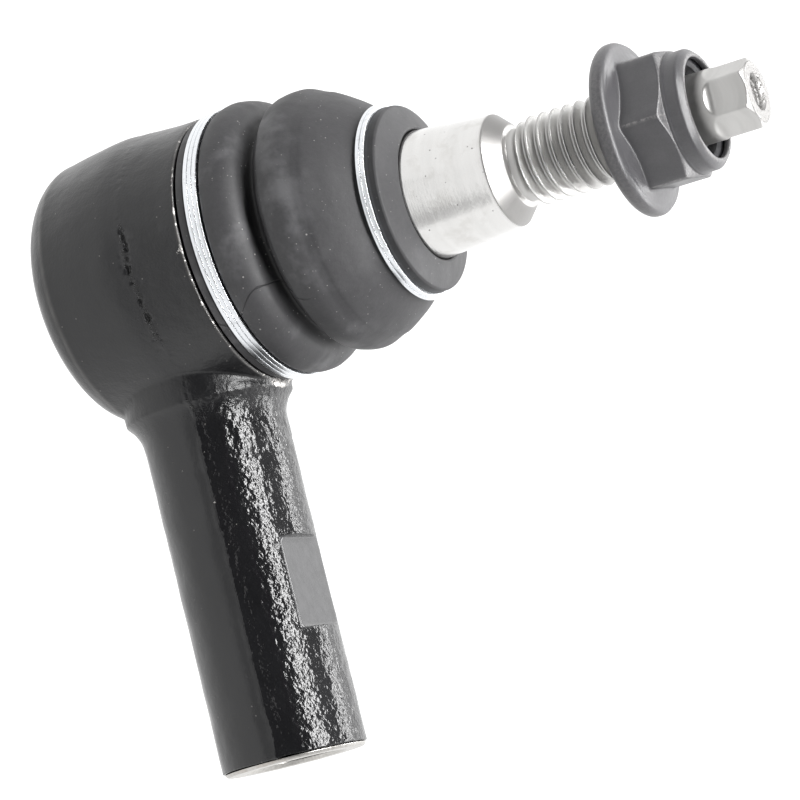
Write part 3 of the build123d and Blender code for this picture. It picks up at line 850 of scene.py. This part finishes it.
def build_nut():
    """Flanged nut: the hexagon runs into the flange's cone, with a crimped collar on top."""
    columns = 288
    rim_low, rim_high = NUT_SEAT + 0.3, NUT_SEAT + FLANGE_EDGE
    rim = eased([
        (THREAD_R + 0.7, NUT_SEAT), (FLANGE_R - 0.85, NUT_SEAT), (FLANGE_R - 0.4, rim_low),
        (FLANGE_R, rim_low + 0.55), (FLANGE_R, rim_high - 0.6), (FLANGE_R - 0.45, rim_high),
    ], 0.35, 5)
    cone_foot = NUT_SEAT + 3.2

    def top_cone(z):
        return NUT_AF / 2 - 0.35 + (NUT_TOP - z) * 1.75

    def outside(angle, z):
        cone = 8.6 + (cone_foot - z) * 2.7
        sides = hexagon(angle, NUT_AF, NUT_TURN)
        body = soft_min(soft_min(sides, NUT_AF / 2 * 1.128 + 0 * z, 0.3), top_cone(z), 0.35)
        return soft_max(body, cone, 0.5)

    def bore(angle, z):
        return thread(angle, z, THREAD_R, PITCH, 1.0) + 0.1 + np.maximum(0, 0.9 - (z - NUT_SEAT)) * 0.8

    heights = np.arange(rim_high + 0.04, NUT_TOP, 0.09)
    sides = shaped(outside, heights, columns)
    collar = eased([
        (COLLAR_R + 0.2, NUT_TOP), (COLLAR_R, NUT_TOP + 0.35), (COLLAR_R, COLLAR_TOP - 0.9),
        (COLLAR_R - 0.85, COLLAR_TOP), (6.9, COLLAR_TOP), (6.75, COLLAR_TOP - 0.3), (6.75, INSERT_HIGH + 0.2),
        (INSERT_R, INSERT_HIGH + 0.02), (INSERT_R, INSERT_LOW), (6.3, INSERT_LOW),
    ], 0.3, 4)
    rows = np.vstack([
        turned(filled(rim, 0.5), columns),
        sides,
        turned(filled(collar, 0.4), columns),
        shaped(bore, np.arange(INSERT_LOW - 0.05, NUT_SEAT, -0.09), columns),
    ])
    points, faces = skinned(rows, loops=True)
    r = np.hypot(points[:, 0], points[:, 1])
    z = points[:, 2]
    angle = np.arctan2(points[:, 1], points[:, 0])
    # Edge mask: rub wear and painted highlight lines along the hexagon's corners, the flange's rim, the top
    # chamfer's arcs and the collar's lip.
    corner = step_up(hexagon(angle, NUT_AF, NUT_TURN), 9.66, 9.78)
    corner *= step_up(z, cone_foot - 0.5, cone_foot + 0.3) * (1 - step_up(z, NUT_TOP - 0.3, NUT_TOP))
    brim = step_up(r, FLANGE_R - 0.3, FLANGE_R - 0.05)
    top_turn = near(r - top_cone(z), 0.15) * (z < NUT_TOP)
    lip = step_up(z, COLLAR_TOP - 0.35, COLLAR_TOP - 0.05)
    masks = {"edge": np.clip(np.maximum.reduce([corner, 0.25 * brim, 0.4 * top_turn, 0.5 * lip]), 0, 1)}
    return points, faces, masks


# ---------------------------------------------------------------- boot and rings

def build_boot():
    """The bellows: bead, two convolutions with the folded band between them, ring seat and lip."""
    columns = 288
    lower = np.vstack([
        eased([(17.3, 12.3), (18.9, 12.3), (19.05, 12.5), (19.1, 13.5), (18.45, 13.72), (18.42, 15.8)], 0.1),
        flowing([
            (18.6, 15.87), (19.15, 16.2), (19.42, 17.4), (19.3, 18.7), (18.75, 19.9), (17.9, 20.85),
            (16.9, 21.35), (16.1, 21.7), (15.65, 22.1),
        ]),
    ])
    band = flowing([
        (15.6, 22.4), (15.75, 22.75), (16.2, 23.0), (16.6, 23.2), (16.85, 23.6), (16.9, 23.95), (17.1, 24.1),
    ], 0.1)
    upper = np.vstack([
        flowing([
            (17.75, 24.15), (18.05, 24.4), (18.25, 25.2), (18.45, 26.4), (18.42, 27.5), (18.1, 28.4),
            (17.75, 29.1), (17.45, 29.9), (17.05, 30.9), (15.4, 33.5), (13.35, 36.1),
        ]),
        eased([
            (LIP_R + 0.2, 36.3), (LIP_R, 36.5), (LIP_R, LIP_EDGE_Z), (LIP_R - 0.2, LIP_EDGE_Z + 0.35),
            (9.4, LIP_TOP_Z), (LIP_BORE_R, LIP_TOP_Z - 0.15), (LIP_BORE_R, 35.6),
        ], 0.12, 3),
    ])
    inside = flowing([
        (9.1, 35.5), (11.6, 34.9), (13.7, 32.9), (15.5, 30.3), (16.4, 27.4), (15.9, 25.4), (14.6, 24.0),
        (14.3, 23.2), (15.2, 21.6), (16.9, 19.4), (17.6, 17.4),
    ], 0.5)
    foot = eased([
        (17.6, 17.2), (17.6, 16.5), (17.3, 16.5), (17.3, 15.2), (16.5, 14.7), (16.5, 13.0), (17.3, 12.4),
    ], 0.1)
    outline = filled(np.vstack([lower, band, upper, inside, foot]), 0.3)
    points, faces = skinned(turned(outline, columns), loops=True)
    r = np.hypot(points[:, 0], points[:, 1])
    z = points[:, 2]
    angle = np.arctan2(points[:, 1], points[:, 0])
    outward = points * [1, 1, 0] / r[:, None]
    free = step_up(z, 16.4, 18.0) * (1 - step_up(z, 34.5, 36.0)) * step_up(r, 15.6, 16.2)
    in_fold = near(z - 22.6, 1.6)
    pucker = roughness_of(points * [1, 1, 0.4], 3.2, 6.1, 2)
    shift = free * (0.10 * roughness_of(points, 9.0, 4.4) + 0.07 * pucker + 0.10 * in_fold * pucker)
    points = points + outward * shift[:, None]
    points[:, 2] -= 0.35 * (0.5 + 0.5 * np.cos(angle)) * step_up(z, 39.0, 41.0)
    weight = step_up(z, *LEAN_Z)
    # Painted shade masks: the lip's outer side and the creases, darkened in the rubber's colour.
    above_ring = step_up(z, TOP_RING_Z[1] - 0.05, TOP_RING_Z[1] + 0.15)
    lip_side_shade = step_up(r, LIP_R - 0.4, LIP_R - 0.1) * above_ring
    lip_side_shade *= 1 - step_up(z, LIP_EDGE_Z - 0.05, LIP_EDGE_Z + 0.1)
    crease_shade = 0.9 * near(z - 22.4, 1.1) + 0.7 * near(z - 24.15, 0.16) + 0.5 * near(z - 36.45, 0.25)
    masks = {
        "crest": np.clip(step_up(r, 16.6, 18.6), 0, 1),
        "crease_shade": np.clip(crease_shade + lip_side_shade, 0, 1),
    }
    return points, faces, masks, weight


def build_ring(radii, heights, turns, start):
    """Flat wire wound in touching turns; each turn steps up over its last fifteenth."""
    inner_r, outer_r = radii
    low, high = heights
    width = (high - low) / turns
    per_turn = 216
    count = int(turns * per_turn) - 6
    square = [(inner_r, 0.5), (inner_r, 1), (outer_r, 1), (outer_r, 0), (inner_r, 0), (inner_r, 0.5)]
    section = eased(square, 0.12, 4)[:-1]
    section[:, 1] = (section[:, 1] - 0.5) * (width - 0.02)
    section[:, 1] = np.clip(section[:, 1], -width / 2, width / 2)
    rows = []
    for k in range(count):
        turn = k / per_turn
        whole = math.floor(turn)
        climb = whole + step_up(np.array(turn - whole), 0.93, 1.0) if whole < turns - 1 else whole
        angle = start + turn * TAU
        middle = low + width * (float(climb) + 0.5)
        across = section[:, 0] * math.cos(angle)
        deep = section[:, 0] * math.sin(angle)
        rows.append(np.stack([across, deep, middle + section[:, 1]], -1))
    first, last = (np.repeat(row.mean(0)[None], len(row), 0)[None] for row in (rows[0], rows[-1]))
    return skinned(np.vstack([first, np.array(rows), last]))


# ---------------------------------------------------------------- the pieces

skin, skin_faces, skin_masks = build_housing()
housing = piece("housing_painted_skin", skin, skin_faces, black_paint(), masks=skin_masks)
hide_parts("housing")
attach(housing, "housing")

end_points, end_faces = build_end()
end_steel = bare_steel("machined_end_steel", (0.30, 0.29, 0.27), (0.58, 0.57, 0.55), 0.35)
shank_end = piece("shank_end_and_thread", end_points, end_faces, end_steel)
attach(shank_end, "housing")

stud_points, stud_faces, stud_masks = build_stud()
steel = ground_steel()
stud = piece("ball_stud_ground", stud_points, stud_faces, steel, leans=True, masks=stud_masks)
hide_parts("ball_stud")
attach(stud, "stud")

nut_points, nut_faces, nut_masks = build_nut()
coat = black_phosphate()
nut = piece("flange_nut_coated", nut_points, nut_faces, coat, leans=True, masks=nut_masks)
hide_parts("flange_nut")
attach(nut, "nut")

boot_points, boot_faces, boot_masks, boot_lean = build_boot()
boot = piece(
    "dust_boot_rubber", boot_points, boot_faces, rubber(), leans=boot_lean, masks=boot_masks)
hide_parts("dust_boot")
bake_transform(boot)

wire = zinc_wire()
points, faces = build_ring(BASE_RING_R, BASE_RING_Z, BASE_RING_TURNS, BASE_RING_START)
base_ring = piece("boot_base_ring_wire", points, faces, wire)
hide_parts("boot_base_ring")
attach(base_ring, "liner")

points, faces = build_ring(TOP_RING_R, TOP_RING_Z, TOP_RING_TURNS, TOP_RING_START)
top_ring = piece("boot_top_ring_wire", points, faces, wire, leans=True)
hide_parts("boot_top_ring")
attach(top_ring, "boot_neck")

# CAD pieces shown as they are: (material, dark, light, mottle size, roughness low and high, bump depth)
ACETAL = ((0.55, 0.54, 0.50), (0.66, 0.65, 0.61), 2.0, 0.35, 0.5, 0.01)
cad_finishes = {
    "closing_cap": cad_finish(
        "phosphated_cap", (0.05, 0.048, 0.045), (0.16, 0.155, 0.145), 1.6, 0.32, 0.5, 0.02, Metallic=0.9),
    "preload_spring": cad_finish(
        "blued_spring_steel", (0.10, 0.10, 0.12), (0.22, 0.22, 0.25), 1.2, 0.25, 0.4, 0.01, Metallic=1.0),
    "lower_bearing_shell": cad_finish("acetal_lower", *ACETAL),
    "upper_bearing_shell": cad_finish("acetal_upper", *ACETAL),
    "locking_insert": cad_finish(
        "nylon_insert", (0.012, 0.012, 0.014), (0.030, 0.030, 0.034), 1.0, 0.35, 0.5, 0.01),
}
for node, material in cad_finishes.items():
    mesh = frame["nodes"][node].data
    mesh.materials.clear()
    mesh.materials.append(material)

# ---------------------------------------------------------------- floor, light and camera


def make_world():
    """A white room for the camera. What the part reflects is a studio: pale behind, brightest far
    behind, dark towards the camera's side above the horizon, mid grey overhead."""
    world = bpy.data.worlds.new("studio")
    bpy.context.scene.world = world
    world.use_nodes = True
    nodes, links = world.node_tree.nodes, world.node_tree.links
    background = nodes["Background"]
    background.inputs["Color"].default_value = (1, 1, 1, 1)
    coordinates = nodes.new("ShaderNodeTexCoord")
    axes = nodes.new("ShaderNodeSeparateXYZ")
    links.new(coordinates.outputs["Generated"], axes.inputs[0])

    def stepped(output, low, high, at_low, at_high):
        node = nodes.new("ShaderNodeMapRange")
        node.interpolation_type = "SMOOTHSTEP"
        links.new(output, node.inputs["Value"])
        ends = {"From Min": low, "From Max": high, "To Min": at_low, "To Max": at_high}
        for socket, value in ends.items():
            node.inputs[socket].default_value = value
        return node.outputs["Result"]

    def mixed(share, first, second):
        node = nodes.new("ShaderNodeMix")
        for socket, value in ((node.inputs[0], share), (node.inputs[2], first), (node.inputs[3], second)):
            if isinstance(value, float):
                socket.default_value = value
            else:
                links.new(value, socket)
        return node.outputs[0]

    side = stepped(axes.outputs["Y"], -0.25, 0.15, 0.035, 1.15)
    overhead = stepped(axes.outputs["Z"], 0.78, 0.92, 0.0, 1.0)
    far = stepped(axes.outputs["Y"], 0.60, 0.85, 0.0, 0.6)
    side = mixed(far, side, 2.6)
    walls = mixed(overhead, side, 0.45)
    below = stepped(axes.outputs["Z"], -0.03, 0.02, 1.0, 0.0)
    studio = mixed(below, walls, 1.15)
    seen = nodes.new("ShaderNodeLightPath").outputs["Is Camera Ray"]
    strength = mixed(seen, studio, 1.3)
    links.new(strength, background.inputs["Strength"])


def sheet(name, x, y, z):
    """A flat rectangle between two places in x and two in y."""
    corners = np.array([(x[0], y[0], z), (x[1], y[0], z), (x[1], y[1], z), (x[0], y[1], z)])
    return new_mesh(name, corners, [(0, 1, 2, 3)])


def make_floor():
    """A plain white floor, lit evenly, well below the part."""
    floor = sheet("floor", (-FLOOR_HALF, FLOOR_HALF), (-FLOOR_HALF, FLOOR_HALF), cad_low.z - FLOOR_DROP)
    material = bpy.data.materials.new("white_floor")
    material.use_nodes = True
    shader = material.node_tree.nodes["Principled BSDF"]
    shader.inputs["Base Color"].default_value = (0.05, 0.05, 0.05, 1)
    shader.inputs["Roughness"].default_value = 0.9
    shader.inputs["Emission Color"].default_value = (1, 1, 1, 1)
    shader.inputs["Emission Strength"].default_value = 1.12
    floor.data.materials.append(material)


def make_card(name, x, y, glow):
    """A grey card lying under the part, seen only in what the part reflects."""
    card = sheet(name, x, y, cad_low.z - CARD_DROP)
    material = bpy.data.materials.new(name)
    material.use_nodes = True
    shader = material.node_tree.nodes["Principled BSDF"]
    shader.inputs["Base Color"].default_value = (0.04, 0.04, 0.04, 1)
    shader.inputs["Emission Color"].default_value = (1, 1, 1, 1)
    shader.inputs["Emission Strength"].default_value = glow
    card.data.materials.append(material)
    card.visible_camera = False


def direction(azimuth, elevation):
    """The unit vector from the part to a place that far round from -Y and that high."""
    level = math.cos(elevation)
    return Vector((math.sin(azimuth) * level, -math.cos(azimuth) * level, math.sin(elevation)))


def softbox(name, toward, elevation, distance, size, radiance):
    """A rectangular light that the camera doesn't see, aimed at the part."""
    light = bpy.data.lights.new(name, "AREA")
    light.shape = "RECTANGLE"
    light.size, light.size_y = size
    light.energy = radiance * math.pi * size[0] * size[1]
    holder = bpy.data.objects.new(name, light)
    bpy.context.scene.collection.objects.link(holder)
    back = direction(math.radians(toward), math.radians(elevation))
    holder.location = LIT_SPOT + back * distance
    holder.rotation_euler = (-back).to_track_quat("-Z", "Y").to_euler()
    holder.visible_camera = False


def make_camera():
    """Above and in front of the shank, rolled over so that the stud points up and right."""
    target = Vector(BALL) + Vector(CAMERA_TARGET) * MM
    back = direction(CAMERA_AZIMUTH, CAMERA_ELEVATION)
    level = (-back).cross(Vector((0, 0, 1))).normalized()
    upright = level.cross(-back)
    right = level * math.cos(CAMERA_ROLL) + upright * math.sin(CAMERA_ROLL)
    up = upright * math.cos(CAMERA_ROLL) - level * math.sin(CAMERA_ROLL)
    data = bpy.data.cameras.new("camera")
    data.lens = CAMERA_LENS
    data.sensor_width = 36.0
    data.clip_start = 0.01
    data.clip_end = 50.0
    camera = bpy.data.objects.new("camera", data)
    bpy.context.scene.collection.objects.link(camera)
    turned_to = Matrix((right, up, back)).transposed().to_4x4()
    camera.matrix_world = Matrix.Translation(target + back * CAMERA_DISTANCE * MM) @ turned_to
    bpy.context.scene.camera = camera


make_world()
make_floor()
make_card("front_card", (-0.18, 0.25), (-0.30, -0.14), 0.5)
softbox("overhead", 0, 72, 0.8, (1.4, 0.17), 25.0)
softbox("behind", 180, 50, 0.9, (1.2, 0.16), 14.0)
make_camera()
bpy.context.scene.view_settings.view_transform = "Standard"
